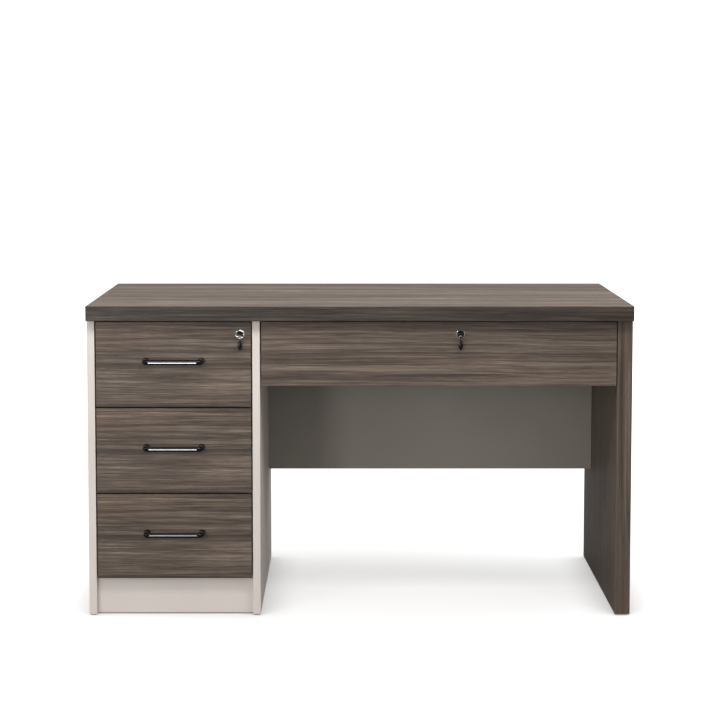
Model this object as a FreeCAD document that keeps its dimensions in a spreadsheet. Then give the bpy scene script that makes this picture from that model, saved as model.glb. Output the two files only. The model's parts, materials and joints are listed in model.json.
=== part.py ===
import FreeCAD, Part
import math
import os

from FreeCAD import Placement, Rotation, Vector

# Writing desk: a 36 mm top on an 18 mm pedestal with three drawers at the
# left and a 36 mm leg panel at the right, with a wide shallow drawer over
# the kneehole.  Millimetres, +X to the right, +Y to the back, +Z up.  The
# origin is on the floor, under the middle of the whole desk.

os.makedirs("parts", exist_ok=True)
doc = FreeCAD.newDocument("WritingDesk")
sheet = doc.addObject("Spreadsheet::Sheet", "Dimensions")
sheet.Label = "Dimensions"

# ---------------------------------------------------------------- dimensions
SIZES = [
    # the whole desk
    ("desk_width", 1300),
    ("desk_height", 750),
    ("top_depth", 600),
    ("top_thickness", 36),
    ("top_front", -293),
    ("panel_front", -273),
    ("glide_height", 3),
    ("glide_radius", 10),
    # boards
    ("board_thickness", 18),
    ("leg_thickness", 36),
    ("edge_ease", 0.8),
    ("top_ease", 1.5),
    ("pedestal_inside", 376),
    ("kick_height", 85),
    ("kick_recess", 15),
    ("modesty_setback", 445),
    ("modesty_bottom", 270),
    ("rail_depth", 60),
    ("rail_front", -225),
    # drawer fronts
    ("front_gap", 3),
    ("front_height", 204.5),
    ("first_front", 91),
    ("knee_front_bottom", 557),
    ("knee_gap_right", 2),
    # drawer boxes
    ("box_wall", 12),
    ("box_bottom", 5),
    ("box_depth", 455),
    ("groove_depth", 5),
    ("groove_up", 10),
    ("low_box_floor", 115),
    ("mid_box_floor", 311),
    ("high_box_floor", 518),
    ("tall_box", 150),
    ("high_box", 142),
    ("knee_box_floor", 570),
    ("knee_box", 80),
    ("knee_box_depth", 405),
    # ball-bearing slides, 45 mm high and 12.7 mm thick
    ("slide_gap", 12.7),
    ("slide_length", 450),
    ("knee_slide_length", 400),
    ("slide_sheet", 1.2),
    ("slide_half", 22.5),
    ("slide_front", -253),
    ("low_slide", 160),
    ("mid_slide", 356),
    ("high_slide", 560),
    ("knee_slide", 610),
    # handles
    ("handle_centres", 132),
    ("handle_bar_radius", 6.2),
    ("handle_foot_radius", 8.4),
    ("handle_reach", 27.8),
    ("handle_up", 8.5),
    ("handle_bar_half", 57),
    ("screw_radius", 2),
    # locks
    ("lock_height", 681),
    ("gang_lock_across", -285),
    ("knee_lock_across", 240),
    ("lock_body_radius", 9.5),
    ("lock_ring_radius", 11),
    ("plug_radius", 6),
    ("plug_head_radius", 8.3),
    ("pin_orbit", 6.364),
    ("pin_radius", 2),
    ("lock_back", -238),
    ("bar_front", -246),
    ("bar_back", -230),
    ("bar_thickness", 5),
    ("bar_low", 112),
    ("bar_high", 687),
    # wood fixings
    ("dowel_radius", 4),
    ("cam_radius", 7.5),
    ("cam_depth", 13.5),
    ("cam_inset", 34),
]


class Size:
    """A length of the design: its number, and the expression that gives it."""

    def __init__(self, value, text):
        self.value = float(value)
        self.text = text

    def bound(self):
        return "Dimensions" in self.text

    def __add__(self, other):
        other = size(other)
        return Size(self.value + other.value, "(%s + %s)" % (self.text, other.text))

    def __sub__(self, other):
        other = size(other)
        return Size(self.value - other.value, "(%s - %s)" % (self.text, other.text))

    def __mul__(self, other):
        other = size(other)
        return Size(self.value * other.value, "(%s * %s)" % (self.text, other.text))

    def __truediv__(self, other):
        other = size(other)
        return Size(self.value / other.value, "(%s / %s)" % (self.text, other.text))

    def __neg__(self):
        return Size(-self.value, "(0 - %s)" % self.text)

    __radd__ = __add__

    def __rsub__(self, other):
        return size(other) - self

    def __rmul__(self, other):
        return self * other


def size(x):
    if isinstance(x, Size):
        return x
    return Size(x, "%.6f" % x if x >= 0 else "(0 - %.6f)" % -x)


D = {}
for row, (alias, number) in enumerate(SIZES, 1):
    sheet.set("A%d" % row, alias)
    sheet.set("B%d" % row, "%g" % number)
    sheet.setAlias("B%d" % row, alias)
    D[alias] = Size(number, "Dimensions.%s" % alias)
doc.recompute()

# ------------------------------------------------------------------- helpers
used = {}


def label(obj, text):
    n = used.get(text, 0)
    used[text] = n + 1
    obj.Label = text if n == 0 else "%s_%d" % (text, n)
    return obj


def bind(obj, prop, value):
    value = size(value)
    target = obj
    if "." not in prop:
        setattr(obj, prop, value.value)
    if value.bound():
        target.setExpression(prop, value.text)


def place(obj, x, y, z, rotation=None):
    x, y, z = size(x), size(y), size(z)
    turn = rotation if rotation is not None else Rotation()
    obj.Placement = Placement(Vector(x.value, y.value, z.value), turn)
    for axis, value in (("x", x), ("y", y), ("z", z)):
        if value.bound():
            obj.setExpression("Placement.Base." + axis, value.text)
    return obj


def box(text, x0, x1, y0, y1, z0, z1):
    obj = label(doc.addObject("Part::Box", "Box"), text)
    bind(obj, "Length", size(x1) - x0)
    bind(obj, "Width", size(y1) - y0)
    bind(obj, "Height", size(z1) - z0)
    return place(obj, x0, y0, z0)


ALONG = {
    "+x": Rotation(Vector(0, 1, 0), 90),
    "-x": Rotation(Vector(0, 1, 0), -90),
    "+y": Rotation(Vector(1, 0, 0), -90),
    "-y": Rotation(Vector(1, 0, 0), 90),
    "+z": Rotation(),
    "-z": Rotation(Vector(1, 0, 0), 180),
}


def rod(text, radius, length, x, y, z, way):
    obj = label(doc.addObject("Part::Cylinder", "Cylinder"), text)
    bind(obj, "Radius", radius)
    bind(obj, "Height", length)
    return place(obj, x, y, z, ALONG[way])


def group(text, items):
    obj = label(doc.addObject("Part::Compound", "Group"), text)
    obj.Links = items
    return obj


def fuse(text, items):
    obj = label(doc.addObject("Part::MultiFuse", "Fusion"), text)
    obj.Shapes = items
    return obj


def cut(text, base, tools):
    tool = tools[0] if len(tools) == 1 else group(text + "_tools", tools)
    obj = label(doc.addObject("Part::Cut", "Cut"), text)
    obj.Base = base
    obj.Tool = tool
    return obj


def outline(body, text, points, plane="XY_Plane"):
    """A closed outline of straight lines, with each corner's two distances bound."""
    sk = body.newObject("Sketcher::SketchObject", "Outline")
    label(sk, text + "_outline")
    origin = [f for f in body.Origin.OriginFeatures if f.Role == plane][0]
    sk.AttachmentSupport = [(origin, "")]
    sk.MapMode = "FlatFace"
    at = [(size(a), size(b)) for a, b in points]
    n = len(at)
    for i in range(n):
        a, b = at[i], at[(i + 1) % n]
        sk.addGeometry(
            Part.LineSegment(
                Vector(a[0].value, a[1].value, 0), Vector(b[0].value, b[1].value, 0)
            ),
            False,
        )
    import Sketcher

    for i in range(n):
        sk.addConstraint(Sketcher.Constraint("Coincident", i, 2, (i + 1) % n, 1))
    for i in range(n):
        for kind, value, axis in (
            ("DistanceX", at[i][0], -2),
            ("DistanceY", at[i][1], -1),
        ):
            if abs(value.value) < 1e-9:
                sk.addConstraint(Sketcher.Constraint("PointOnObject", i, 1, axis))
                continue
            k = sk.addConstraint(
                Sketcher.Constraint(kind, -1, 1, i, 1, value.value)
            )
            if value.bound():
                sk.setExpression("Constraints[%d]" % k, value.text)
    return sk


def board(text, x0, x1, y0, y1, z0, z1, ease=None):
    """A board: its outline padded to its thickness, with all its edges eased."""
    body = label(doc.addObject("PartDesign::Body", "Body"), text)
    wide, deep = size(x1) - x0, size(y1) - y0
    sk = outline(body, text, [(0, 0), (wide, 0), (wide, deep), (0, deep)])
    pad = label(body.newObject("PartDesign::Pad", "Pad"), text + "_pad")
    pad.Profile = sk
    bind(pad, "Length", size(z1) - z0)
    doc.recompute()
    eased = label(body.newObject("PartDesign::Fillet", "Fillet"), text + "_ease")
    eased.Base = (pad, ["Edge%d" % (i + 1) for i in range(len(pad.Shape.Edges))])
    bind(eased, "Radius", ease if ease is not None else D["edge_ease"])
    body.Tip = eased
    return place(body, x0, y0, z0)


def turned(text, points, x, z):
    """A turned piece: an outline of radius and depth, revolved about a line along Y."""
    body = label(doc.addObject("PartDesign::Body", "Body"), text)
    sk = outline(body, text, points)
    rev = label(body.newObject("PartDesign::Revolution", "Revolution"), text + "_turn")
    rev.Profile = sk
    axis = [f for f in body.Origin.OriginFeatures if f.Role == "Y_Axis"][0]
    rev.ReferenceAxis = (axis, [""])
    rev.Angle = 360
    body.Tip = rev
    return place(body, x, 0, z)


nodes = []


def node(name, obj):
    used.pop(name, None)
    for other in doc.Objects:
        if other is not obj and other.Label == name:
            other.Label = name + "_blank"
    obj.Label = name
    used[name] = 1
    nodes.append((name, obj))
    return obj


# ------------------------------------------------------------ main positions
t = D["board_thickness"]
half = D["desk_width"] / 2
low = D["glide_height"]
under = D["desk_height"] - D["top_thickness"]  # the underside of the top
back = D["top_front"] + D["top_depth"]
front = D["panel_front"]
left_in = t - half  # inner face of the left side
inner_in = left_in + D["pedestal_inside"]  # the inner panel's pedestal face
inner_out = inner_in + t  # and its kneehole face
leg_in = half - D["leg_thickness"]
kick_front = front + D["kick_recess"]
kick_top = low + D["kick_height"]
modesty_front = front + D["modesty_setback"]
front_back = front + t  # back face of every drawer front

# ------------------------------------------------- dowels, cams and cam bolts
dowels = []


def dowel(way, into, out, x, y, z):
    """A wood dowel across a joint face: it goes `into` mm before the face and `out` mm past it."""
    x, y, z = size(x), size(y), size(z)
    axis = way[1]
    step = -1 if way[0] == "-" else 1
    if axis == "x":
        x = x - step * into
    elif axis == "y":
        y = y - step * into
    else:
        z = z - step * into
    d = rod("dowel", D["dowel_radius"], into + out, x, y, z, way)
    dowels.append(d)
    return d


board_mid_left = t / 2 - half
board_mid_inner = inner_in + t / 2
board_mid_leg = leg_in + D["leg_thickness"] / 2
top_dowels = {
    "left": [dowel("+z", 15, 13, board_mid_left, y, under) for y in (-60, 150)],
    "inner": [dowel("+z", 15, 13, board_mid_inner, y, under) for y in (-60, 150)],
    "leg": [dowel("+z", 15, 13, board_mid_leg, y, under) for y in (-60, 150)],
}
floor_mid = kick_top + t / 2
floor_dowels = {
    "left": [dowel("+x", 12, 16, left_in, y, floor_mid) for y in (-180, 200)],
    "inner": [dowel("-x", 12, 16, inner_in, y, floor_mid) for y in (-180, 200)],
}
rail_mid = under - t / 2
rail_dowels = {
    "left": [dowel("+x", 12, 16, left_in, y, rail_mid) for y in (-210, -180)],
    "inner": [dowel("-x", 12, 16, inner_in, y, rail_mid) for y in (-210, -180)],
}
back_mid = back - t / 2
back_dowels = {
    "left": [dowel("+x", 12, 16, left_in, back_mid, z) for z in (200, 400, 600)],
    "inner": [dowel("-x", 12, 16, inner_in, back_mid, z) for z in (200, 400, 600)],
}
kick_mid = kick_front + t / 2
kick_dowels = {
    "left": [dowel("+x", 12, 16, left_in, kick_mid, z) for z in (25, 65)],
    "inner": [dowel("-x", 12, 16, inner_in, kick_mid, z) for z in (25, 65)],
}
modesty_mid = modesty_front + t / 2
modesty_dowels = {
    "inner": [dowel("+x", 12, 16, inner_out, modesty_mid, z) for z in (310, 500, 690)],
    "leg": [dowel("-x", 14, 16, leg_in, modesty_mid, z) for z in (310, 500, 690)],
}

cams = []
cam_seats = {"left": [], "inner": [], "leg": [], "modesty": []}
bolts = []
bolt_holes = {k: [] for k in ("top", "left", "inner", "leg", "modesty")}


def cam(where, x, y, z, way):
    """A cam disc let into a face, with the hole where the bolt's head comes in."""
    seat = rod("cam_seat", D["cam_radius"], D["cam_depth"], x, y, z, way)
    cam_seats[where].append(seat)
    return seat


def bolt_along(way, x, y, z):
    """A cam bolt from the cam's centre to the joint face and 11 mm past it."""
    x, y, z = size(x), size(y), size(z)
    step = -1 if way[0] == "-" else 1
    axis = way[1]

    def at(d):
        p = [x, y, z]
        p["xyz".index(axis)] = p["xyz".index(axis)] + step * d
        return p

    parts = [
        rod("bolt_head", 3.4, 3, *at(-1.5), way),
        rod("bolt_neck", 2.2, 7, *at(1), way),
        rod("bolt_shank", 3.5, D["cam_inset"] - 8, *at(8), way),
        rod("bolt_thread", 3.0, 11, *at(D["cam_inset"]), way),
    ]
    bolts.append(fuse("cam_bolt", parts))
    return (
        rod("bolt_way", 4, D["cam_inset"], *at(0), way),
        rod("bolt_thread_hole", 3.0, 11, *at(D["cam_inset"]), way),
        rod("cam_mouth", 4.2, 14, *at(-4), way),
    )


cam_z = under - D["cam_inset"]
for where, face, way, mid in (
    ("left", left_in, "-x", board_mid_left),
    ("inner", inner_in, "+x", board_mid_inner),
    ("leg", leg_in, "+x", leg_in + 9),
):
    for y in (-130, 230):
        seat = cam(where, face, y, cam_z, way)
        hole, thread, mouth = bolt_along("+z", mid, y, cam_z)
        bolt_holes[where].append(hole)
        bolt_holes["top"].append(thread)
        cams.append(cut("cam_disc", seat, [mouth]))
modesty_back = modesty_front + t
for z in (350, 645):
    for side, x, way in (
        ("inner", inner_out + D["cam_inset"], "-x"),
        ("leg", leg_in - D["cam_inset"], "+x"),
    ):
        seat = cam("modesty", x, modesty_back, z, "-y")
        hole, thread, mouth = bolt_along(way, x, modesty_mid, z)
        bolt_holes["modesty"].append(hole)
        bolt_holes[side].append(thread)
        cams.append(cut("cam_disc", seat, [mouth]))

# --------------------------------------------------------------- slide parts
SLIDES = {
    # name: (height of its centre, cabinet faces (x, way to the drawer), front, length)
    "bottom": (D["low_slide"], ((left_in, 1), (inner_in, -1)), D["slide_length"]),
    "middle": (D["mid_slide"], ((left_in, 1), (inner_in, -1)), D["slide_length"]),
    "top": (D["high_slide"], ((left_in, 1), (inner_in, -1)), D["slide_length"]),
    "centre": (D["knee_slide"], ((inner_out, 1), (leg_in, -1)), D["knee_slide_length"]),
}
cabinet_members, cabinet_screws = [], []
panel_screw_holes = {"left": [], "inner": [], "leg": []}
middle_members, drawer_members, member_screws, side_screw_holes = {}, {}, {}, {}


def layer(text, face, way, t0, t1, y0, y1, z0, z1):
    """A block between two distances from a cabinet face."""
    if way > 0:
        return box(text, face + t0, face + t1, y0, y1, z0, z1)
    return box(text, face - t1, face - t0, y0, y1, z0, z1)


def screw(text, radius_head, head, radius, length, x, y, z, way):
    """A pan-head screw: the head sits on the surface at x, y, z and the shank goes along `way`."""
    x, y, z = size(x), size(y), size(z)
    step = -1 if way[0] == "-" else 1
    axis = "xyz".index(way[1])
    p = [x, y, z]
    p[axis] = p[axis] - step * head
    return fuse(
        text,
        [
            rod(text + "_head", radius_head, head, *p, way),
            rod(text + "_shank", radius, length, x, y, z, way),
        ],
    )


sh = D["slide_sheet"]
hh = D["slide_half"]
for name, (zc, faces, length) in SLIDES.items():
    y0 = D["slide_front"]
    y1 = y0 + length
    ys = (-200, 100) if name != "centre" else (-200, 70)
    middle_members[name], drawer_members[name] = [], []
    member_screws[name], side_screw_holes[name] = [], []
    for face, way in faces:
        face = size(face)
        into = "-x" if way > 0 else "+x"  # towards the cabinet panel
        outo = "+x" if way > 0 else "-x"  # towards the drawer
        # cabinet member: a lipped channel against the panel
        blank = layer("cabinet_channel", face, way, 0, 9, y0, y1, zc - hh, zc + hh)
        hollow = layer(
            "cabinet_hollow", face, way, sh, 7.8, y0 - 5, y1 + 5, zc - hh + sh, zc + hh - sh
        )
        mouth = layer("cabinet_mouth", face, way, 7, 10, y0 - 5, y1 + 5, zc - 19, zc + 19)
        holes = [
            rod("cabinet_hole", D["screw_radius"], 6, face - 3 * way, y, zc, outo)
            for y in ys
        ]
        cabinet_members.append(
            cut("cabinet_member", blank, [hollow, mouth] + holes)
        )
        for y in ys:
            cabinet_screws.append(
                screw("cabinet_screw", 3.6, 2, D["screw_radius"], 10.2, face + 1.2 * way, y, zc, into)
            )
        which = (
            "left" if face is left_in else "leg" if face is leg_in else "inner"
        )
        for y in ys:
            panel_screw_holes[which].append(
                rod("panel_screw_hole", D["screw_radius"], 9, face, y, zc, into)
            )
        # middle member: a smaller channel that opens to the drawer
        blank = layer("middle_channel", face, way, 3.6, 10.4, y0, y1, zc - 17.8, zc + 17.8)
        hollow = layer("middle_hollow", face, way, 4.8, 9.2, y0 - 5, y1 + 5, zc - 16.6, zc + 16.6)
        mouth = layer("middle_mouth", face, way, 9, 12, y0 - 5, y1 + 5, zc - 14.5, zc + 14.5)
        middle_members[name].append(cut("middle_member", blank, [hollow, mouth]))
        # drawer member: a plain channel on the side of the drawer
        gap = D["slide_gap"]
        blank = layer("drawer_channel", face, way, 6, gap, y0, y1, zc - 13, zc + 13)
        hollow = layer(
            "drawer_hollow", face, way, 5, gap - sh, y0 - 5, y1 + 5, zc - 11.8, zc + 11.8
        )
        holes = [
            rod("member_hole", D["screw_radius"], 6, face + 9 * way, y + 20, zc, outo)
            for y in ys
        ]
        drawer_members[name].append(cut("drawer_member", blank, [hollow] + holes))
        web = face + way * (gap - sh)
        for y in ys:
            member_screws[name].append(
                screw("member_screw", 3.6, 2, D["screw_radius"], 10, web, y + 20, zc, outo)
            )
            side_screw_holes[name].append(
                rod("side_screw_hole", D["screw_radius"], 8.8, face + way * gap, y + 20, zc, outo)
            )

# ------------------------------------------------------------------ carcass
mortise = box(
    "bolt_mortise",
    D["knee_lock_across"] - 12,
    D["knee_lock_across"] + 12,
    D["lock_back"],
    D["bar_back"] + 4,
    under - 1,
    under + 10.5,
)
desktop = board(
    "desktop", -half, half, D["top_front"], back, under, D["desk_height"], D["top_ease"]
)
node(
    "desktop",
    cut(
        "desktop_cut",
        desktop,
        [mortise]
        + top_dowels["left"]
        + top_dowels["inner"]
        + top_dowels["leg"]
        + bolt_holes["top"],
    ),
)

left = board("left_side", -half, left_in, front, back, low, under)
node(
    "left_side_panel",
    cut(
        "left_cut",
        left,
        top_dowels["left"]
        + floor_dowels["left"]
        + rail_dowels["left"]
        + back_dowels["left"]
        + kick_dowels["left"]
        + cam_seats["left"]
        + bolt_holes["left"]
        + panel_screw_holes["left"],
    ),
)

# the lock bar lies in a groove of the inner panel, under two flat straps
groove = box(
    "bar_groove",
    inner_in - 1,
    inner_in + 6,
    D["bar_front"] - 0.5,
    D["bar_back"] + 0.5,
    kick_top + t,
    under + 1,
)
strap_holes = [
    rod("strap_hole", 1.75, 9, inner_in, y, z, "+x")
    for z in (298, 500)
    for y in (-252, -222)
]
inner = board("inner_panel", inner_in, inner_out, front, back, low, under)
node(
    "pedestal_inner_panel",
    cut(
        "inner_cut",
        inner,
        [groove]
        + strap_holes
        + top_dowels["inner"]
        + floor_dowels["inner"]
        + rail_dowels["inner"]
        + back_dowels["inner"]
        + kick_dowels["inner"]
        + modesty_dowels["inner"]
        + cam_seats["inner"]
        + bolt_holes["inner"]
        + panel_screw_holes["inner"],
    ),
)

leg = board("leg", leg_in, half, front, back, low, under)
node(
    "right_leg_panel",
    cut(
        "leg_cut",
        leg,
        top_dowels["leg"]
        + modesty_dowels["leg"]
        + cam_seats["leg"]
        + bolt_holes["leg"]
        + panel_screw_holes["leg"],
    ),
)

modesty = board(
    "modesty", inner_out, leg_in, modesty_front, modesty_back, D["modesty_bottom"], under
)
node(
    "modesty_panel",
    cut(
        "modesty_cut",
        modesty,
        modesty_dowels["inner"]
        + modesty_dowels["leg"]
        + cam_seats["modesty"]
        + bolt_holes["modesty"],
    ),
)

back_panel = board("back_board", left_in, inner_in, back - t, back, low, under)
node(
    "pedestal_back_panel",
    cut("back_cut", back_panel, back_dowels["left"] + back_dowels["inner"]),
)
floor_panel = board(
    "floor_board", left_in, inner_in, front_back + 2, back - t, kick_top, kick_top + t
)
node(
    "pedestal_bottom_panel",
    cut("floor_cut", floor_panel, floor_dowels["left"] + floor_dowels["inner"]),
)
kick = board("kick", left_in, inner_in, kick_front, kick_front + t, low, kick_top)
node("kickboard", cut("kick_cut", kick, kick_dowels["left"] + kick_dowels["inner"]))
rail = board(
    "rail",
    left_in,
    inner_in,
    D["rail_front"],
    D["rail_front"] + D["rail_depth"],
    under - t,
    under,
)
node(
    "pedestal_top_rail",
    cut("rail_cut", rail, rail_dowels["left"] + rail_dowels["inner"]),
)

glides = []
for x in (board_mid_left, board_mid_inner, board_mid_leg):
    for y in (-245, 280):
        g = rod("glide", D["glide_radius"] if x is board_mid_leg else 8.5, low, x, y, 0, "+z")
        glides.append(g)
node("floor_glides", group("glides", glides))
node("wood_dowels", group("dowels", dowels))
node("cam_discs", group("cams", cams))
node("cam_bolts", group("cam_bolt_group", bolts))
node("slide_cabinet_members", group("cabinet_member_group", cabinet_members))
node("slide_cabinet_screws", group("cabinet_screw_group", cabinet_screws))

# ---------------------------------------------------------- lock bar of the gang
catch_z = {"bottom": 225, "middle": 420, "top": 620}
bar_out = inner_in + 0.2
bar = box(
    "bar_strip",
    bar_out,
    bar_out + D["bar_thickness"],
    D["bar_front"],
    D["bar_back"],
    D["bar_low"],
    D["bar_high"],
)
hooks = [
    box("bar_hook", bar_out - 6.2, bar_out, D["bar_front"], D["bar_front"] + 5, z - 9, z - 1)
    for z in catch_z.values()
]
gx, lz = D["gang_lock_across"], D["lock_height"]
tab = box("bar_tab", gx - 9, bar_out, D["bar_back"] - 4, D["bar_back"], lz - 13, lz + 6)
tab_slot = box(
    "tab_slot", gx + 1.9, gx + 9.0, D["bar_back"] - 6, D["bar_back"] + 2, lz - 7, lz - 2
)
# the hooks and the tab are small pieces riveted to the flat strip
node(
    "gang_lock_bar",
    group("gang_bar_group", [bar, cut("gang_bar_tab", tab, [tab_slot])] + hooks),
)
straps = []
for z in (298, 500):
    strap = box("bar_strap", inner_in - 1.2, inner_in, -257, -217, z - 5, z + 5)
    straps.append(
        cut(
            "bar_guide",
            strap,
            [rod("strap_way", 1.75, 4, inner_in - 2, y, z, "+x") for y in (-252, -222)],
        )
    )
    straps += [
        screw("strap_screw", 3.2, 1.6, 1.75, 10.2, inner_in - 1.2, y, z, "+x")
        for y in (-252, -222)
    ]
node("gang_bar_guides", group("gang_guides", straps))

# ------------------------------------------------------------------- drawers


def lock_housing_profile():
    """Radius and depth of the lock's body, with its round trim ring in front."""
    r, ring, f = D["lock_body_radius"], D["lock_ring_radius"], front
    bore, face = D["plug_radius"] + 0.05, D["plug_head_radius"] + 0.15
    return [
        (bore, D["lock_back"]),
        (r, D["lock_back"]),
        (r, f),
        (ring, f),
        (ring, f - 1.0),
        (ring - 0.5, f - 2.0),
        (ring - 1.2, f - 2.5),
        (face + 0.5, f - 2.5),
        (face, f - 2.0),
        (face, f + 0.6),
        (bore, f + 0.6),
    ]


def plug_profile():
    """Radius and depth of the plug: a wide face, the barrel, and the disc that drives the pin."""
    head, f = D["plug_head_radius"], front
    return [
        (0, f - 2.2),
        (head - 0.8, f - 2.2),
        (head, f - 1.6),
        (head, f + 0.5),
        (D["plug_radius"], f + 0.5),
        (D["plug_radius"], D["lock_back"] + 0.1),
        (9, D["lock_back"] + 0.1),
        (9, D["lock_back"] + 2),
        (0, D["lock_back"] + 2),
    ]


def lock(name, x):
    """The turning plug with its pin, the key in it, and the key's folding head."""
    z = D["lock_height"]
    f = front
    plug = turned(name + "_plug_turned", plug_profile(), x, z)
    c = D["pin_orbit"] * math.cos(math.radians(45))
    pin = rod(name + "_pin", D["pin_radius"], 7.5, x + c, D["lock_back"] + 1.5, z - c, "+y")
    keyway = box(name + "_keyway", x - 1.1, x + 1.1, f - 3, f + 27, z - 3.7, z + 3.7)
    node(
        name + "_lock_plug",
        cut(name + "_plug_cut", fuse(name + "_plug_body", [plug, pin]), [keyway]),
    )
    # the key: a flat blade, a shoulder in front of the plug, and an eye for the hinge pin
    blade = box(name + "_blade", x - 0.9, x + 0.9, f - 3, f + 26, z - 3.4, z + 3.4)
    bits = [
        box(name + "_bit", x - 3, x + 3, f + a, f + a + 3, z + 3.4 - d, z + 5)
        for a, d in ((5, 1.4), (11, 2.0), (17, 1.0))
    ]
    shoulder = box(name + "_shoulder", x - 0.9, x + 0.9, f - 6.5, f - 2.4, z - 4.2, z + 4.2)
    neck = box(name + "_neck", x - 1.9, x + 1.9, f - 8.8, f - 5.4, z - 2.6, z + 2.6)
    eye = rod(name + "_eye", 3.1, 3.8, x - 1.9, f - 9.4, z, "+x")
    eye_hole = rod(name + "_eye_hole", 1.3, 8, x - 4, f - 9.4, z, "+x")
    node(
        name + "_key_blade",
        cut(
            name + "_key_cut",
            fuse(name + "_key_body", [blade, shoulder, neck, eye]),
            [eye_hole] + bits,
        ),
    )
    # the moulded head hangs from the eye: two cheeks, a waist, and a drop-shaped grip
    wide = [
        (-7.6, -0.5), (-7.0, -7.0), (-4.6, -12.6), (-3.1, -15.4), (-3.1, -18.2),
        (-4.4, -20.4), (-5.3, -23.6), (-5.3, -27.4), (-4.0, -31.4), (-2.7, -35.2),
        (-2.2, -37.6), (-1.2, -38.6),
    ]
    half_line = [(-a, b) for a, b in reversed(wide)]
    points = wide + half_line + [(5.2, 3.4), (-5.2, 3.4)]
    body = label(doc.addObject("PartDesign::Body", "Body"), name + "_head_blank")
    sk = outline(body, name + "_head", points, "XZ_Plane")
    pad = label(body.newObject("PartDesign::Pad", "Pad"), name + "_head_pad")
    pad.Profile = sk
    pad.Length = 5.6
    pad.Midplane = True
    body.Tip = pad
    doc.recompute()
    rim = [
        i + 1
        for i, e in enumerate(pad.Shape.Edges)
        if abs(e.Vertexes[0].Point.y - e.Vertexes[-1].Point.y) < 0.01
    ]
    soft = label(body.newObject("PartDesign::Fillet", "Fillet"), name + "_head_soft")
    soft.Base = (pad, ["Edge%d" % i for i in rim])
    soft.Radius = 1.1
    body.Tip = soft
    place(body, x, f - 9.4, z)
    slot = box(name + "_head_slot", x - 2.2, x + 2.2, f - 14, f - 4, z - 4.2, z + 5)
    pivot = rod(name + "_head_pivot", 1.2, 9.0, x - 4.5, f - 9.4, z, "+x")
    node(
        name + "_key_head",
        fuse(
            name + "_head_body",
            [cut(name + "_head_slotted", body, [slot]), pivot],
        ),
    )


def handle(name, x, z):
    """A bridge pull: a round bar, whose ends turn back and flare into two feet."""
    r, reach = D["handle_bar_radius"], D["handle_reach"]
    foot = D["handle_centres"] / 2
    y = front - reach
    bar = rod(name + "_bar", r, D["handle_bar_half"] * 2, x - D["handle_bar_half"], y, z, "+x")
    pieces = [bar]
    bend = foot - D["handle_bar_half"]  # the radius of the elbow
    for s in (-1, 1):
        elbow = label(doc.addObject("Part::Torus", "Torus"), name + "_elbow")
        bind(elbow, "Radius1", bend)
        bind(elbow, "Radius2", r)
        elbow.Angle3 = 90
        place(
            elbow,
            x + s * D["handle_bar_half"],
            y + bend,
            z,
            Rotation(Vector(0, 0, 1), -90 if s > 0 else 180),
        )
        pieces.append(elbow)
        for a, b, ra, rb in (
            (bend, bend + 3, r, r),
            (bend + 3, bend + 10, r, r + 0.6),
            (bend + 10, reach, r + 0.6, D["handle_foot_radius"]),
        ):
            if ra is rb:
                flare = label(doc.addObject("Part::Cylinder", "Cylinder"), name + "_post")
                bind(flare, "Radius", ra)
            else:
                flare = label(doc.addObject("Part::Cone", "Cone"), name + "_foot")
                bind(flare, "Radius1", ra)
                bind(flare, "Radius2", rb)
            bind(flare, "Height", b - a)
            place(flare, x + s * foot, y + a, z, ALONG["+y"])
            pieces.append(flare)
    holes = [
        rod(name + "_foot_hole", D["screw_radius"], 8, x + s * foot, front, z, "-y")
        for s in (-1, 1)
    ]
    node(name + "_handle", cut(name + "_handle_cut", fuse(name + "_handle_body", pieces), holes))
    screws = [
        screw(name + "_handle_screw", 4, 2.4, D["screw_radius"], 25, x + s * foot, front_back, z, "-y")
        for s in (-1, 1)
    ]
    ways = [
        rod(name + "_front_hole", D["screw_radius"], 20, x + s * foot, front - 1, z, "+y")
        for s in (-1, 1)
    ]
    return screws, ways


def drawer(name, x0, x1, z0, z1, face_l, face_r, floor, height, depth, front_holes, screws, slide):
    """A front, two sides, a back, and a bottom held in grooves."""
    w, b, g, up = D["box_wall"], D["box_bottom"], D["groove_depth"], D["groove_up"]
    a0 = face_l + D["slide_gap"]
    a1 = face_r - D["slide_gap"]
    y0, y1 = front_back, front_back + depth
    top = floor + height
    bottom = box(
        name + "_bottom_board", a0 + w - g, a1 - w + g, front_back - 6, y1, floor + up, floor + up + b
    )
    sides = [
        cut(
            name + "_side",
            box(name + "_side_board", p, q, y0, y1, floor, top),
            [box(name + "_side_groove", u, v, y0 - 1, y1 + 1, floor + up, floor + up + b)]
            + holes,
        )
        for p, q, u, v, holes in (
            (a0, a0 + w, a0 + w - g, a0 + w + 1, side_screw_holes[slide][:2]),
            (a1 - w, a1, a1 - w - 1, a1 - w + g, side_screw_holes[slide][2:]),
        )
    ]
    rear = box(name + "_rear_board", a0 + w, a1 - w, y1 - w, y1, floor + up + b, top)
    face = board(name + "_face", x0, x1, front, front_back, z0, z1)
    groove = box(
        name + "_face_groove", a0 + w - g, a1 - w + g, front_back - 6, front_back + 1, floor + up, floor + up + b
    )
    node(name + "_front", cut(name + "_front_cut", face, [groove] + front_holes))
    node(name + "_sides", group(name + "_side_pair", sides))
    node(name + "_back", label(rear, name + "_rear"))
    node(name + "_bottom", label(bottom, name + "_floor"))
    node(name + "_screws", group(name + "_screw_group", screws + member_screws[slide]))
    node(name + "_slide_members", group(name + "_member_pair", drawer_members[slide]))
    node(slide + "_slide_middles", group(name + "_middle_pair", middle_members[slide]))


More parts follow.
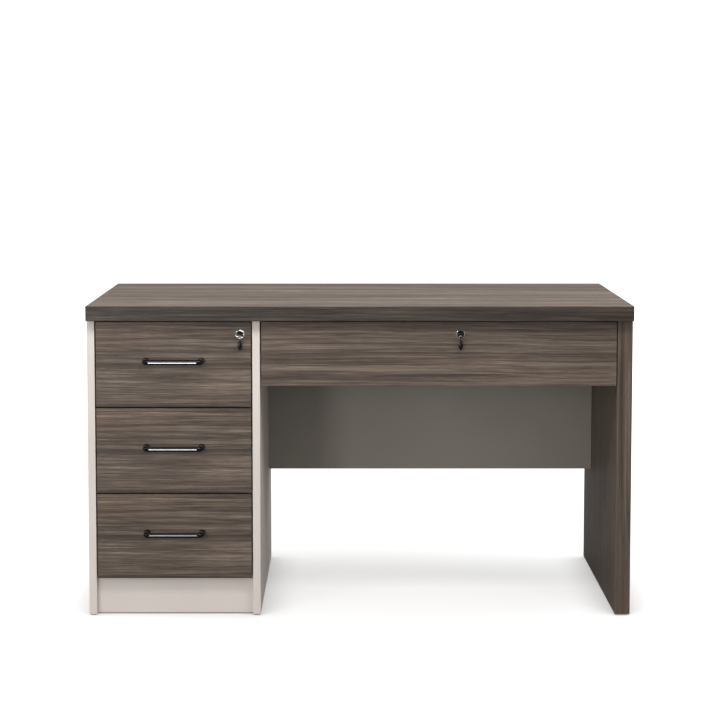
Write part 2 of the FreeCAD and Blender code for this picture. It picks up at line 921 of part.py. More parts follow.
gap = D["front_gap"]
x_left, x_right = left_in + gap, inner_in - gap
handle_x = (x_left + x_right) / 2
levels = {
    "bottom": (D["first_front"], D["low_box_floor"], D["tall_box"]),
    "middle": (D["first_front"] + D["front_height"] + gap, D["mid_box_floor"], D["tall_box"]),
    "top": (
        D["first_front"] + (D["front_height"] + gap) * 2,
        D["high_box_floor"],
        D["high_box"],
    ),
}
for name, (z0, floor, height) in levels.items():
    z1 = z0 + D["front_height"]
    full = name + "_drawer"
    screws, ways = handle(full, handle_x, (z0 + z1) / 2 + D["handle_up"])
    if name == "top":
        ways = ways + [
            rod("lock_way", D["lock_body_radius"], 30, gx, front - 5, lz, "+y")
        ]
    drawer(
        full, x_left, x_right, z0, z1, left_in, inner_in, floor, height, D["box_depth"], ways, screws, name
    )
    # a small steel angle on the outside of the box, which the bar's hook comes up in front of
    cz = catch_z[name]
    side_out = inner_in - D["slide_gap"]
    node(
        full + "_catch",
        fuse(
            full + "_catch_body",
            [
                box(full + "_catch_plate", side_out, side_out + 1.5, -239, -215, cz, cz + 14),
                box(full + "_catch_tongue", side_out, side_out + 9.2, -239, -235, cz, cz + 6),
            ],
        ),
    )
knee_holes = [
    rod("knee_lock_way", D["lock_body_radius"], 30, D["knee_lock_across"], front - 5, lz, "+y")
]
drawer(
    "centre_drawer",
    inner_out + gap,
    leg_in - D["knee_gap_right"],
    D["knee_front_bottom"],
    D["first_front"] + (D["front_height"] + gap) * 2 + D["front_height"],
    inner_out,
    leg_in,
    D["knee_box_floor"],
    D["knee_box"],
    D["knee_box_depth"],
    knee_holes,
    [],
    "centre",
)

# --------------------------------------------------------------------- locks
lock("top", gx)
nut = label(doc.addObject("Part::Prism", "Nut"), "lock_nut_blank")
nut.Polygon = 6
nut.Circumradius = 14
nut.Height = 4
place(nut, gx, front_back, lz, ALONG["+y"])
nut_cut = cut(
    "lock_nut", nut, [rod("lock_nut_hole", D["lock_body_radius"], 8, gx, front_back - 2, lz, "+y")]
)
node(
    "top_lock_housing",
    group("top_housing_group", [turned("top_housing_turned", lock_housing_profile(), gx, lz), nut_cut]),
)

kx = D["knee_lock_across"]
lock("centre", kx)
case = cut(
    "lock_case",
    box("lock_case_block", kx - 16, kx + 16, front_back, -227.4, lz - 18, lz + 18),
    [
        rod("case_body_way", D["lock_body_radius"], 30, kx, front_back - 10, lz, "+y"),
        rod("case_disc_way", 9.4, 8, kx, D["lock_back"] - 1, lz, "+y"),
        box("case_channel", kx - 10.2, kx + 10.2, -234.3, -228.8, lz - 20, lz + 20),
    ],
)
node(
    "centre_lock_housing",
    group(
        "centre_housing_group",
        [turned("centre_housing_turned", lock_housing_profile(), kx, lz), case],
    ),
)
node(
    "centre_lock_bolt",
    cut(
        "bolt_cut",
        box("bolt_plate", kx - 10, kx + 10, -234, -230, lz - 13, under - 3),
        [box("bolt_slot", kx + 1.9, kx + 9.0, -236, -228, lz - 7, lz - 2)],
    ),
)

# -------------------------------------------------------- check and write out
doc.recompute()
for obj in doc.Objects:
    if "Invalid" in obj.State or "Error" in obj.State:
        raise RuntimeError("%s (%s) is %s" % (obj.Label, obj.Name, obj.State))
for name, obj in nodes:
    if obj.Shape.isNull() or not obj.Shape.isValid():
        raise RuntimeError("%s has no valid shape" % name)
    if not obj.Shape.Solids:
        raise RuntimeError("%s has no solid" % name)
for old in os.listdir("parts"):
    if old.endswith(".step"):
        os.remove(os.path.join("parts", old))
for name, obj in nodes:
    obj.Shape.exportStep("parts/%s.step" % name)
    b = obj.Shape.BoundBox
    print(
        "%-26s %2d solids %10.0f mm3  X %.1f..%.1f  Y %.1f..%.1f  Z %.1f..%.1f"
        % (name, len(obj.Shape.Solids), obj.Shape.Volume, b.XMin, b.XMax, b.YMin, b.YMax, b.ZMin, b.ZMax)
    )
print(len(nodes), "nodes")
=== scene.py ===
import json
import math

import bmesh
import bpy
from mathutils import Matrix, Vector


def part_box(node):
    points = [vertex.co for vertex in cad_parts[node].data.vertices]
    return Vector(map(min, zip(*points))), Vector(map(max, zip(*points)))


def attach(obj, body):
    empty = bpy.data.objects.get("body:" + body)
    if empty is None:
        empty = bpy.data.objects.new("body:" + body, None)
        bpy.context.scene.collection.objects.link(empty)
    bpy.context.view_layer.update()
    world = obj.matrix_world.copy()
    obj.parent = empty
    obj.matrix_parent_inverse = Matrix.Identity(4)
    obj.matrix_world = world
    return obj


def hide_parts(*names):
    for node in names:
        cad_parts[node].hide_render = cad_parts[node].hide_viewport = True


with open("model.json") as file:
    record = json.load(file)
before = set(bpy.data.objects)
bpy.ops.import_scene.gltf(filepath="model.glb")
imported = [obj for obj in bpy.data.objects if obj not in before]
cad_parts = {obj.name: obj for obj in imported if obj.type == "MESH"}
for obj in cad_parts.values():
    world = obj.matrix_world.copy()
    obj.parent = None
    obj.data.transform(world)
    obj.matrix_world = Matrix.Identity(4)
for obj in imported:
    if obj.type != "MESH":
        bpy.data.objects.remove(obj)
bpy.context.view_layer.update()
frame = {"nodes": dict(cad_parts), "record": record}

nodes = frame["nodes"]
scene = bpy.context.scene


# ------------------------------------------------------------------ node trees
def linear(r, g, b, gain=1.0):
    """An 8-bit display colour as scene-linear RGBA, times gain."""
    out = []
    for c in (r, g, b):
        c /= 255.0
        c = c / 12.92 if c <= 0.04045 else ((c + 0.055) / 1.055) ** 2.4
        out.append(c * gain)
    return (out[0], out[1], out[2], 1.0)


class Tree:
    """A material's node tree, with one short call per node."""

    def __init__(self, name):
        self.material = bpy.data.materials.new(name)
        self.material.use_nodes = True
        self.nt = self.material.node_tree
        self.nt.nodes.clear()
        self.out = self.nt.nodes.new("ShaderNodeOutputMaterial")
        self.shader = self.nt.nodes.new("ShaderNodeBsdfPrincipled")
        self.link(self.shader.outputs[0], self.out.inputs["Surface"])

    def link(self, a, b):
        self.nt.links.new(a, b)

    def put(self, value, socket):
        if isinstance(value, bpy.types.NodeSocket):
            self.link(value, socket)
        else:
            socket.default_value = value

    def set(self, **values):
        for key, value in values.items():
            self.put(value, self.shader.inputs[key.replace("_", " ")])

    def math(self, operation, a, b=0.0, clamp=False):
        n = self.nt.nodes.new("ShaderNodeMath")
        n.operation = operation
        n.use_clamp = clamp
        self.put(a, n.inputs[0])
        self.put(b, n.inputs[1])
        return n.outputs[0]

    def ramp_value(self, value, low, high, to_low=0.0, to_high=1.0, smooth=True):
        n = self.nt.nodes.new("ShaderNodeMapRange")
        n.interpolation_type = "SMOOTHSTEP" if smooth else "LINEAR"
        self.put(value, n.inputs["Value"])
        n.inputs["From Min"].default_value = low
        n.inputs["From Max"].default_value = high
        n.inputs["To Min"].default_value = to_low
        n.inputs["To Max"].default_value = to_high
        return n.outputs["Result"]

    def colours(self, value, stops):
        n = self.nt.nodes.new("ShaderNodeValToRGB")
        ramp = n.color_ramp
        while len(ramp.elements) > 1:
            ramp.elements.remove(ramp.elements[-1])
        ramp.elements[0].position = stops[0][0]
        ramp.elements[0].color = stops[0][1]
        for at, colour in stops[1:]:
            ramp.elements.new(at).color = colour
        self.put(value, n.inputs["Fac"])
        return n.outputs["Color"]

    def mix(self, factor, a, b, blend="MIX"):
        n = self.nt.nodes.new("ShaderNodeMix")
        n.data_type = "RGBA"
        n.blend_type = blend
        self.put(factor, n.inputs[0])
        self.put(a, n.inputs[6])
        self.put(b, n.inputs[7])
        return n.outputs[2]

    def either(self, factor, a, b):
        """Vector a where factor is 0, vector b where it is 1."""
        n = self.nt.nodes.new("ShaderNodeMix")
        n.data_type = "VECTOR"
        self.put(factor, n.inputs[0])
        self.link(a, n.inputs[4])
        self.link(b, n.inputs[5])
        return n.outputs[1]

    def place(self):
        return self.nt.nodes.new("ShaderNodeTexCoord").outputs["Object"]

    def split(self, vector):
        n = self.nt.nodes.new("ShaderNodeSeparateXYZ")
        self.link(vector, n.inputs[0])
        return n.outputs[0], n.outputs[1], n.outputs[2]

    def join(self, x, y, z):
        n = self.nt.nodes.new("ShaderNodeCombineXYZ")
        self.put(x, n.inputs[0])
        self.put(y, n.inputs[1])
        self.put(z, n.inputs[2])
        return n.outputs[0]

    def mapped(self, vector, scale, location=(0.0, 0.0, 0.0)):
        n = self.nt.nodes.new("ShaderNodeMapping")
        n.inputs["Location"].default_value = location
        n.inputs["Scale"].default_value = scale
        self.link(vector, n.inputs["Vector"])
        return n.outputs[0]

    def noise(self, vector, scale, location=(0.0, 0.0, 0.0), detail=2.0, rough=0.5, distortion=0.0):
        n = self.nt.nodes.new("ShaderNodeTexNoise")
        n.noise_dimensions = "3D"
        n.inputs["Scale"].default_value = 1.0
        n.inputs["Detail"].default_value = detail
        n.inputs["Roughness"].default_value = rough
        n.inputs["Distortion"].default_value = distortion
        self.link(self.mapped(vector, scale, location), n.inputs["Vector"])
        return n.outputs["Fac"]

    def bump(self, height, distance, strength=1.0, normal=None):
        n = self.nt.nodes.new("ShaderNodeBump")
        n.inputs["Distance"].default_value = distance
        n.inputs["Strength"].default_value = strength
        self.link(height, n.inputs["Height"])
        if normal is not None:
            self.link(normal, n.inputs["Normal"])
        return n.outputs["Normal"]


# ------------------------------------------------------------------- materials
def wood_print(name, grain, origin, seed, gain=1.0, contrast=1.0, rough=0.44, specular=0.45, painted_edge_shade=None, tint=(1.0, 1.0, 1.0)):
    """Grey-brown wood-grain melamine: long fine streaks along the grain, in
    broad light and dark bands, with short dark pores pressed into it.  With
    painted_edge_shade, the upright faces get painted shade: the print is
    multiplied darker there."""
    t = Tree(name)

    def tone_of(r, g, b):
        c = linear(r, g, b, gain)
        return (c[0] * tint[0], c[1] * tint[1], c[2] * tint[2], 1.0)

    x, y, z = t.split(t.mapped(t.place(), (1.0, 1.0, 1.0), tuple(-c for c in origin)))
    p = t.join(x, z, y) if grain == "x" else t.join(z, x, y)
    if painted_edge_shade is not None:
        # on the two end faces the grain runs along them
        facing = t.split(t.nt.nodes.new("ShaderNodeTexCoord").outputs["Normal"])[0]
        p = t.either(t.math("GREATER_THAN", t.math("ABSOLUTE", facing), 0.75), p, t.join(y, z, x))
    u, v, w = t.split(p)
    wave = t.noise(p, (1.1, 2.6, 2.6), (seed, seed * 1.7, 0.3), detail=1.0, rough=0.4)
    ripple = t.noise(p, (4.0, 12.0, 12.0), (seed + 3.1, 0.7, seed), detail=1.0)
    shift = t.math(
        "ADD",
        t.math("MULTIPLY", t.math("SUBTRACT", wave, 0.5), 0.026),
        t.math("MULTIPLY", t.math("SUBTRACT", ripple, 0.5), 0.0040),
    )
    p = t.join(u, t.math("ADD", v, shift), t.math("ADD", w, shift))
    bands = t.noise(p, (0.55, 22.0, 22.0), (seed, 1.3, 2.2), detail=2.0, rough=0.5)
    streaks = t.noise(p, (2.1, 140.0, 140.0), (seed * 2.0, 4.1, 0.4), detail=3.0, rough=0.62)
    fine = t.noise(p, (7.5, 430.0, 430.0), (seed * 3.0, 7.7, 1.9), detail=3.0, rough=0.65)
    flecks = t.noise(p, (24.0, 360.0, 360.0), (seed * 4.0, 2.7, 3.9), detail=2.0, rough=0.6)
    pores = t.noise(p, (26.0, 1150.0, 1150.0), (seed, 9.9, 5.5), detail=1.0, rough=0.5)
    tone = t.math(
        "ADD",
        t.math("ADD", t.math("MULTIPLY", bands, 0.26), t.math("MULTIPLY", streaks, 0.32)),
        t.math("ADD", t.math("MULTIPLY", fine, 0.30), t.math("MULTIPLY", flecks, 0.12)),
    )
    c = contrast
    colour = t.colours(
        tone,
        [
            (0.5 - 0.100 / c, tone_of(62, 51, 43)),
            (0.5 - 0.042 / c, tone_of(84, 72, 63)),
            (0.5 - 0.003 / c, tone_of(103, 90, 80)),
            (0.5 + 0.038 / c, tone_of(121, 107, 96)),
            (0.5 + 0.105 / c, tone_of(160, 144, 130)),
        ],
    )
    # the print turns warmer or greyer in wide soft patches
    patch = t.noise(p, (1.6, 11.0, 11.0), (seed * 1.3, 3.3, 6.1), detail=2.0)
    colour = t.mix(t.ramp_value(patch, 0.50, 0.70, 0.0, 0.45), colour, (0.55, 0.465, 0.41, 1.0), "OVERLAY")
    colour = t.mix(t.ramp_value(patch, 0.50, 0.30, 0.0, 0.40), colour, (0.44, 0.455, 0.465, 1.0), "OVERLAY")
    # long pale streaks and thin dark lines
    pale = t.noise(p, (1.3, 92.0, 92.0), (seed + 11.0, 2.9, 8.2), detail=2.0, rough=0.55)
    colour = t.mix(t.ramp_value(pale, 0.60, 0.74, 0.0, 0.48), colour, tone_of(150, 133, 119))
    dark = t.noise(p, (1.2, 170.0, 170.0), (seed + 17.0, 6.6, 3.4), detail=2.0, rough=0.5)
    colour = t.mix(t.ramp_value(dark, 0.59, 0.71, 0.0, 0.75), colour, tone_of(60, 50, 43))
    pore = t.ramp_value(pores, 0.58, 0.70, 0.0, 1.0)
    colour = t.mix(t.math("MULTIPLY", pore, 0.34), colour, tone_of(56, 47, 41))
    # painted shade: the upright edges of the board are multiplied darker, standing in for the shade that falls on them
    if painted_edge_shade is not None:
        upright = t.nt.nodes.new("ShaderNodeTexCoord").outputs["Normal"]
        tilt = t.math("ABSOLUTE", t.split(upright)[2])
        colour = t.mix(t.ramp_value(tilt, 0.62, 0.78, 1.0, 0.0), colour, (painted_edge_shade, painted_edge_shade * 0.985, painted_edge_shade * 0.97, 1.0), "MULTIPLY")
    t.set(
        Base_Color=colour,
        Roughness=t.math("ADD", t.ramp_value(streaks, 0.3, 0.7, rough - 0.05, rough + 0.07), t.math("MULTIPLY", pore, 0.10)),
        Specular_IOR_Level=specular,
        Normal=t.bump(t.math("SUBTRACT", t.math("MULTIPLY", fine, 0.6), pore), 0.00012, 0.7),
    )
    return t.material


def plain_board(name, colour, gain=1.0, rough=0.46, mottle=0.05, streak=0.035, specular=0.5):
    """Single-colour melamine: a nearly even tone with a faint mottle, faint
    upright streaks and a fine pearl texture."""
    t = Tree(name)
    p = t.place()
    soft = t.noise(p, (7.0, 7.0, 7.0), (3.0, 1.0, 2.0), detail=3.0, rough=0.55)
    lines = t.noise(p, (240.0, 240.0, 2.6), (0.0, 5.0, 1.0), detail=3.0, rough=0.6)
    pearl = t.noise(p, (1500.0, 1500.0, 1500.0), detail=2.0, rough=0.6)
    base = linear(*colour, gain)
    darker = tuple(c * (1.0 - 2.2 * mottle) for c in base[:3]) + (1.0,)
    paler = tuple(min(0.97, c * (1.0 + 2.0 * mottle)) for c in base[:3]) + (1.0,)
    warm = (base[0] * 1.03, base[1] * (1.0 - streak), base[2] * (1.0 - 1.6 * streak), 1.0)
    shade = t.mix(t.ramp_value(soft, 0.32, 0.68), darker, paler)
    shade = t.mix(t.ramp_value(lines, 0.50, 0.72, 0.0, 0.85), shade, warm)
    t.set(
        Base_Color=shade,
        Roughness=t.ramp_value(pearl, 0.3, 0.7, rough - 0.04, rough + 0.05),
        Specular_IOR_Level=specular,
        Normal=t.bump(pearl, 0.00004, 0.6),
    )
    return t.material


def metal(name, colour, rough, brushed=None, gain=1.0, spots=0.0, wear=0.05):
    """Plated or plain metal: fine lines along one axis, or an even plating
    with a little uneven gloss."""
    t = Tree(name)
    p = t.place()
    base = linear(*colour, gain)
    cloud = t.noise(p, (60.0, 60.0, 60.0), (1.0, 4.0, 2.0), detail=3.0, rough=0.6)
    dull = tuple(c * (1.0 - 3.0 * wear) for c in base[:3]) + (1.0,)
    shade = t.mix(t.ramp_value(cloud, 0.35, 0.70), base, dull)
    if brushed:
        scale = {"x": (18.0, 2600.0, 2600.0), "y": (2600.0, 18.0, 2600.0), "z": (2600.0, 2600.0, 18.0)}[brushed]
        lines = t.noise(p, scale, detail=2.0, rough=0.6)
        shade = t.mix(t.ramp_value(lines, 0.3, 0.75, 0.0, 0.22), shade, dull)
        t.set(
            Roughness=t.ramp_value(lines, 0.25, 0.75, rough * 0.75, rough * 1.25),
            Normal=t.bump(lines, 0.00002, 0.5),
        )
    else:
        t.set(Roughness=t.ramp_value(cloud, 0.3, 0.7, rough * 0.8, rough * 1.3))
    t.set(Base_Color=shade, Metallic=1.0)
    return t.material


def moulded(name, colour, rough, gain=1.0, grain=0.00003, specular=0.5):
    """Moulded plastic: an even colour, a fine spark texture and a soft sheen."""
    t = Tree(name)
    p = t.place()
    cloud = t.noise(p, (90.0, 90.0, 90.0), (2.0, 2.0, 5.0), detail=2.0)
    spark = t.noise(p, (2200.0, 2200.0, 2200.0), detail=2.0, rough=0.6)
    base = linear(*colour, gain)
    paler = tuple(min(1.0, c * 1.22 + 0.001) for c in base[:3]) + (1.0,)
    t.set(
        Base_Color=t.mix(t.ramp_value(cloud, 0.35, 0.7), base, paler),
        Roughness=t.ramp_value(spark, 0.3, 0.7, rough * 0.85, rough * 1.2),
        Normal=t.bump(spark, grain, 0.5),
        Specular_IOR_Level=specular,
    )
    return t.material


def raw_board(name, colour, gain=1.0):
    """Light grey paper-faced board of the drawer boxes: specks and faint fibres."""
    t = Tree(name)
    p = t.place()
    fibre = t.noise(p, (70.0, 70.0, 420.0), detail=4.0, rough=0.65)
    speck = t.noise(p, (900.0, 900.0, 900.0), (4.0, 0.0, 1.0), detail=2.0, rough=0.6)
    base = linear(*colour, gain)
    low = tuple(c * 0.90 for c in base[:3]) + (1.0,)
    high = tuple(min(0.95, c * 1.06) for c in base[:3]) + (1.0,)
    shade = t.mix(t.ramp_value(fibre, 0.35, 0.65), low, high)
    shade = t.mix(t.ramp_value(speck, 0.66, 0.80, 0.0, 0.35), shade, low)
    t.set(Base_Color=shade, Roughness=t.ramp_value(fibre, 0.3, 0.7, 0.50, 0.62), Normal=t.bump(speck, 0.00003, 0.5))
    return t.material


def beech(name):
    t = Tree(name)
    p = t.place()
    rays = t.noise(p, (300.0, 60.0, 300.0), detail=3.0, rough=0.6)
    t.set(
        Base_Color=t.colours(rays, [(0.3, linear(176, 136, 92)), (0.5, linear(203, 166, 120)), (0.72, linear(221, 190, 148))]),
        Roughness=t.ramp_value(rays, 0.3, 0.7, 0.52, 0.66),
        Normal=t.bump(rays, 0.0001, 0.5),
    )
    return t.material


WOOD_GAIN = 1.26
FRONT_GAIN = 0.80
LEG_GAIN = 0.71


def low(node):
    return tuple(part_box(node)[0])


finish = {}
# the desktop's upright edges get painted shade, 0.28 of their print's tone
finish["desktop"] = wood_print("desktop_laminate", "x", low("desktop"), 2.0, WOOD_GAIN, contrast=0.85, painted_edge_shade=0.28, tint=(0.97, 1.0, 1.03))
# one repeat of the print is laid from the same corner of each pedestal front
for level in ("top", "middle", "bottom"):
    finish[level + "_drawer_front"] = wood_print(
        "front_laminate_" + level, "x", low(level + "_drawer_front"), 5.0, FRONT_GAIN, contrast=0.94
    )
finish["centre_drawer_front"] = wood_print("front_laminate_centre", "x", low("centre_drawer_front"), 8.0, FRONT_GAIN * 1.02, contrast=0.72)
finish["right_leg_panel"] = wood_print("leg_laminate", "z", low("right_leg_panel"), 11.0, LEG_GAIN, contrast=0.36)

beige = plain_board("beige_laminate", (208, 201, 196), 1.13, mottle=0.012, streak=0.030)
greige = plain_board("greige_laminate", (150, 144, 136), 1.0, mottle=0.010, streak=0.010)
by_slot = {
    "beige_laminate": beige,
    "greige_laminate": greige,
    "box_board": raw_board("box_board", (206, 204, 200)),
    "box_bottom_board": raw_board("box_bottom_board", (196, 193, 188)),
    "glide_plastic": moulded("glide_plastic", (28, 28, 29), 0.5),
    "dowel_beech": beech("dowel_beech"),
    "cam_zinc": metal("cam_zinc", (186, 186, 184), 0.38),
    "handle_black_nickel": metal("handle_black_nickel", (46, 46, 48), 0.045),
    "plug_black": moulded("plug_black", (11, 11, 12), 0.16, specular=0.22),
    "lock_chrome": metal("lock_chrome", (226, 226, 226), 0.09, wear=0.02),
    "key_steel": metal("key_steel", (196, 195, 190), 0.24, brushed="z"),
    "key_black_plastic": moulded("key_black_plastic", (12, 12, 13), 0.20, specular=0.30),
    "slide_zinc_steel": metal("slide_zinc_steel", (196, 199, 203), 0.30, brushed="y"),
    "screw_steel": metal("screw_steel", (198, 198, 194), 0.28),
    "bar_aluminium": metal("bar_aluminium", (208, 210, 212), 0.34, brushed="z"),
}
for part in frame["record"]["subparts"]:
    name = part["node"]
    material = finish.get(name) or by_slot[part["material_slot"]]
    obj = nodes[name]
    for s in obj.material_slots:
        s.material = material
    if not obj.material_slots:
        obj.data.materials.append(material)


# ------------------------------------------------------------------------ keys
def oval_ring(bm, x, y, z, half_width, half_depth, count=20):
    """One level of a lofted bar: a rounded oblong in the plane z."""
    ring = []
    for i in range(count):
        a = 2.0 * math.pi * i / count
        c, s = math.cos(a), math.sin(a)
        ring.append(bm.verts.new((
            x + half_width * math.copysign(abs(c) ** 0.8, c),
            y + half_depth * math.copysign(abs(s) ** 0.8, s),
            z,
        )))
    return ring


def skin(bm, rings):
    """Faces between the rings, and a cap on each end."""
    for a, b in zip(rings, rings[1:]):
        n = len(a)
        for i in range(n):
            bm.faces.new((a[i], a[(i + 1) % n], b[(i + 1) % n], b[i]))
    bm.faces.new(rings[0])
    bm.faces.new(tuple(reversed(rings[-1])))


def piece(name, bm, body, slot, material, *replaced):
    bmesh.ops.recalc_face_normals(bm, faces=bm.faces)
    mesh = bpy.data.meshes.new(name)
    bm.to_mesh(mesh)
    bm.free()
    for polygon in mesh.polygons:
        polygon.use_smooth = True
    mesh.materials.append(material)
    obj = bpy.data.objects.new(name, mesh)
    scene.collection.objects.link(obj)
    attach(obj, body)
    if replaced:
        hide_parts(*replaced)
    return obj


def key_grip(side):
    """The moulded head of a folding key: two cheeks beside the hinge with a
    domed cover in front of them, a slim waist and a drop-shaped grip."""
    head_low, head_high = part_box(side + "_key_head")
    x = (head_low[0] + head_high[0]) / 2.0
    z = head_high[2] - 0.0034  # the hinge
    y = (head_low[1] + head_high[1]) / 2.0
    mm = 0.001
    bm = bmesh.new()
    for s in (-1.0, 1.0):
        levels = [(3.2, 1.0, 1.5), (2.6, 1.7, 2.4), (0.0, 2.1, 2.7), (-4.0, 2.1, 2.7), (-5.6, 1.9, 2.4), (-6.6, 1.3, 1.6)]
        skin(bm, [oval_ring(bm, x + s * 4.5 * mm, y, z + h * mm, w * mm, d * mm) for h, w, d in levels])
    # the bridge under the hinge
    bridge = [(-5.3, 4.4, 1.6), (-5.8, 5.2, 2.2), (-6.6, 5.0, 2.2), (-7.4, 3.4, 1.7), (-7.9, 1.4, 1.2)]
    skin(bm, [oval_ring(bm, x, y, z + h * mm, w * mm, d * mm) for h, w, d in bridge])
    # the post that carries the cover
    post = [(-4.7, 2.6, 0.9), (-5.1, 3.2, 1.3), (-6.6, 3.2, 1.3), (-7.2, 2.4, 0.9)]
    skin(bm, [oval_ring(bm, x, y - 3.4 * mm, z + h * mm, w * mm, d * mm) for h, w, d in post])
    # waist and grip
    levels = [
        (-7.2, 1.0, 1.1), (-9.0, 0.75, 0.95), (-12.0, 0.70, 0.90), (-13.8, 0.8, 1.0), (-14.8, 1.6, 1.4),
        (-16.2, 2.6, 1.8), (-18.6, 3.7, 2.2), (-21.6, 4.7, 2.5), (-25.0, 5.4, 2.7), (-28.4, 5.3, 2.7),
        (-31.4, 4.5, 2.5), (-34.0, 3.4, 2.1), (-36.2, 2.3, 1.7), (-37.6, 1.6, 1.2), (-38.3, 0.7, 0.6),
    ]
    skin(bm, [oval_ring(bm, x, y, z + h * mm, w * mm, d * mm) for h, w, d in levels])
    # the domed cover
    rings = []
    for r, out in ((6.0, 4.33), (6.6, 4.38), (6.7, 4.58), (6.3, 4.95), (5.0, 5.30), (3.0, 5.50), (0.8, 5.58)):
        rings.append([
            bm.verts.new((
                x + r * mm * math.cos(2.0 * math.pi * i / 28),
                y - out * mm,
                z - 1.2 * mm + r * mm * math.sin(2.0 * math.pi * i / 28),
            ))
            for i in range(28)
        ])
    skin(bm, rings)
    piece(side + "_key_grip", bm, side + "_key_head", "key_black_plastic", by_slot["key_black_plastic"], side + "_key_head")

    # a small bright wedge let into the foot of the cover
    bm = bmesh.new()
    corners = [(-4.0, -4.6), (4.0, -4.6), (3.3, -3.8), (0.5, -1.1), (-0.5, -1.1), (-3.3, -3.8)]
    rings = []
    for grow, out in ((1.0, 4.4), (1.0, 5.52), (0.86, 5.75)):
        rings.append([
            bm.verts.new((x + cx * grow * mm, y - out * mm, z + (-3.4 + (cz + 3.4) * grow) * mm)) for cx, cz in corners
        ])
    skin(bm, rings)
    wedge = piece(side + "_key_wedge", bm, side + "_key_head", "key_steel", by_slot["key_steel"])
    for polygon in wedge.data.polygons:
        polygon.use_smooth = False


for side in ("top", "centre"):
    key_grip(side)

# ----------------------------------------------------------------------- stage
def floor_material():
    """White floor: seen by the camera it is a glowing bright sweep with only
    painted soft shade on it, a painted contact shadow next to the desk and a
    painted faint shade under it; as a bounce it is a pale grey."""
    t = Tree("pale_floor")
    p = t.place()
    length = t.nt.nodes.new("ShaderNodeVectorMath")
    length.operation = "LENGTH"
    t.link(p, length.inputs[0])
    away = t.ramp_value(length.outputs["Value"], 1.1, 2.6)
    # painted contact shadow: an occlusion test lowers the floor's glow next to the desk
    painted_shadow_occlusion = t.nt.nodes.new("ShaderNodeAmbientOcclusion")
    painted_shadow_occlusion.samples = 6
    painted_shadow_occlusion.inputs["Distance"].default_value = 0.09
    painted_contact_shadow = t.ramp_value(painted_shadow_occlusion.outputs["AO"], 0.15, 0.95, 0.30, 1.0, smooth=False)
    # painted shade: the glow is lowered in a soft patch in the middle of the floor under the desk
    middle = t.nt.nodes.new("ShaderNodeVectorMath")
    middle.operation = "LENGTH"
    t.link(t.mapped(p, (0.6, 1.0, 1.0), (0.0, 0.10, 0.0)), middle.inputs[0])
    painted_floor_shade = t.ramp_value(middle.outputs["Value"], 0.24, 0.62, 0.57, 0.80)
    # the floor's glow: brighter far away, lowered by the painted contact shadow and by the painted shade under the
    # desk
    glow = t.math("ADD", t.math("MULTIPLY", away, 0.45), t.math("MULTIPLY", painted_contact_shadow, painted_floor_shade))
    t.set(Base_Color=(0.50, 0.50, 0.50, 1.0), Roughness=0.9, Specular_IOR_Level=0.0)
    t.shader.inputs["Emission Color"].default_value = (1.0, 1.0, 1.0, 1.0)
    t.put(glow, t.shader.inputs["Emission Strength"])
    bounce = t.nt.nodes.new("ShaderNodeBsdfDiffuse")
    bounce.inputs["Color"].default_value = (0.27, 0.27, 0.27, 1.0)
    path = t.nt.nodes.new("ShaderNodeLightPath")
    both = t.nt.nodes.new("ShaderNodeMixShader")
    t.link(path.outputs["Is Camera Ray"], both.inputs[0])
    t.link(bounce.outputs[0], both.inputs[1])
    t.link(t.shader.outputs[0], both.inputs[2])
    t.link(both.outputs[0], t.out.inputs["Surface"])
    return t.material


bm = bmesh.new()
bmesh.ops.create_circle(bm, cap_ends=True, segments=96, radius=60.0)
mesh = bpy.data.meshes.new("floor")
bm.to_mesh(mesh)
bm.free()
floor = bpy.data.objects.new("floor", mesh)
scene.collection.objects.link(floor)
mesh.materials.append(floor_material())

world = bpy.data.worlds.new("studio")
scene.world = world
world.use_nodes = True
wn = world.node_tree
wn.nodes.clear()
w_out = wn.nodes.new("ShaderNodeOutputWorld")
w_light = wn.nodes.new("ShaderNodeBackground")
w_light.inputs["Color"].default_value = (1.0, 0.985, 0.965, 1.0)
# an even soft room, a little darker behind the desk
w_way = wn.nodes.new("ShaderNodeTexCoord")
w_split = wn.nodes.new("ShaderNodeSeparateXYZ")
wn.links.new(w_way.outputs["Generated"], w_split.inputs[0])
w_back = wn.nodes.new("ShaderNodeMapRange")
w_back.interpolation_type = "SMOOTHSTEP"
w_back.inputs["From Min"].default_value = 0.55
w_back.inputs["From Max"].default_value = 0.90
w_back.inputs["To Min"].default_value = 0.65
w_back.inputs["To Max"].default_value = 0.34
wn.links.new(w_split.outputs[1], w_back.inputs["Value"])
wn.links.new(w_back.outputs["Result"], w_light.inputs["Strength"])
w_seen = wn.nodes.new("ShaderNodeBackground")
w_seen.inputs["Color"].default_value = (1.0, 1.0, 1.0, 1.0)
w_seen.inputs["Strength"].default_value = 1.1
w_path = wn.nodes.new("ShaderNodeLightPath")
w_mix = wn.nodes.new("ShaderNodeMixShader")
wn.links.new(w_path.outputs["Is Camera Ray"], w_mix.inputs[0])
wn.links.new(w_light.outputs[0], w_mix.inputs[1])
wn.links.new(w_seen.outputs[0], w_mix.inputs[2])
wn.links.new(w_mix.outputs[0], w_out.inputs["Surface"])


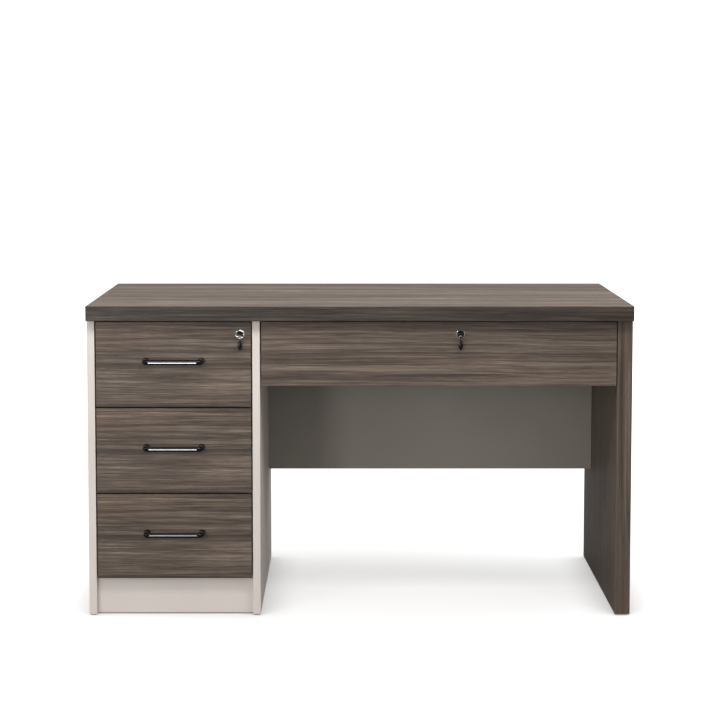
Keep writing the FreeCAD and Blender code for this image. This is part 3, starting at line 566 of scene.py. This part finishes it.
def softbox(name, place, aim, width, height, radiance, colour=(1.0, 0.98, 0.95)):
    light = bpy.data.lights.new(name, "AREA")
    light.shape = "RECTANGLE"
    light.size = width
    light.size_y = height
    light.energy = radiance * width * height * math.pi
    light.color = colour
    obj = bpy.data.objects.new(name, light)
    scene.collection.objects.link(obj)
    obj.location = place
    obj.rotation_euler = (Vector(aim) - Vector(place)).to_track_quat("-Z", "Y").to_euler()
    obj.visible_camera = False
    return obj


softbox("over_front", (0.0, -0.95, 1.75), (0.0, 0.05, 0.70), 2.6, 0.25, 9.0)
softbox("right_top", (1.3, -1.8, 2.3), (0.0, -0.1, 0.50), 0.9, 0.9, 3.0)
left_mid = softbox("left_mid", (-1.9, -4.6, 0.9), (-0.3, -0.3, 0.42), 0.8, 1.6, 9.6)
left_front = softbox("left_front", (-3.0, -3.6, 1.1), (-0.2, -0.2, 0.40), 1.0, 2.0, 2.6)
softbox("left_side", (-4.2, 0.3, 1.5), (-0.65, 0.0, 0.40), 2.4, 1.8, 1.8)
softbox("right_side", (4.2, 0.6, 1.5), (0.65, 0.1, 0.40), 2.4, 1.8, 3.2)
# a long low light on the floor, which only draws the line along the handles
low_strip = softbox("low_strip", (-0.90, -4.6, 0.03), (-0.90, -4.6, 1.0), 0.36, 6.8, 78.0)
low_strip.rotation_euler = (math.pi, 0.0, -0.1)
bright_metal = bpy.data.collections.new("bright_metal")
handles_only = bpy.data.collections.new("handles_only")
for name in nodes:
    if name.endswith("_drawer_handle"):
        handles_only.objects.link(nodes[name])
    if name.endswith("_drawer_handle") or name.endswith("_lock_housing"):
        bright_metal.objects.link(nodes[name])
low_strip.light_linking.receiver_collection = bright_metal
# the two left lights leave the handles dark above that line
for entry in handles_only.collection_objects:
    entry.light_linking.link_state = "EXCLUDE"
left_mid.light_linking.receiver_collection = handles_only
left_front.light_linking.receiver_collection = handles_only

# ---------------------------------------------------------------------- camera
camera_data = bpy.data.cameras.new("camera")
camera = bpy.data.objects.new("camera", camera_data)
scene.collection.objects.link(camera)
camera.location = (-0.02166, -4.4990, 1.1863)
camera.rotation_euler = (math.pi / 2 - 0.07529, 0.0, 0.0)
camera_data.lens = 89.36
camera_data.sensor_width = 36.0
camera_data.shift_x = 0.0130
camera_data.shift_y = -0.1444
camera_data.clip_end = 200.0
scene.camera = camera
scene.view_settings.view_transform = "Standard"
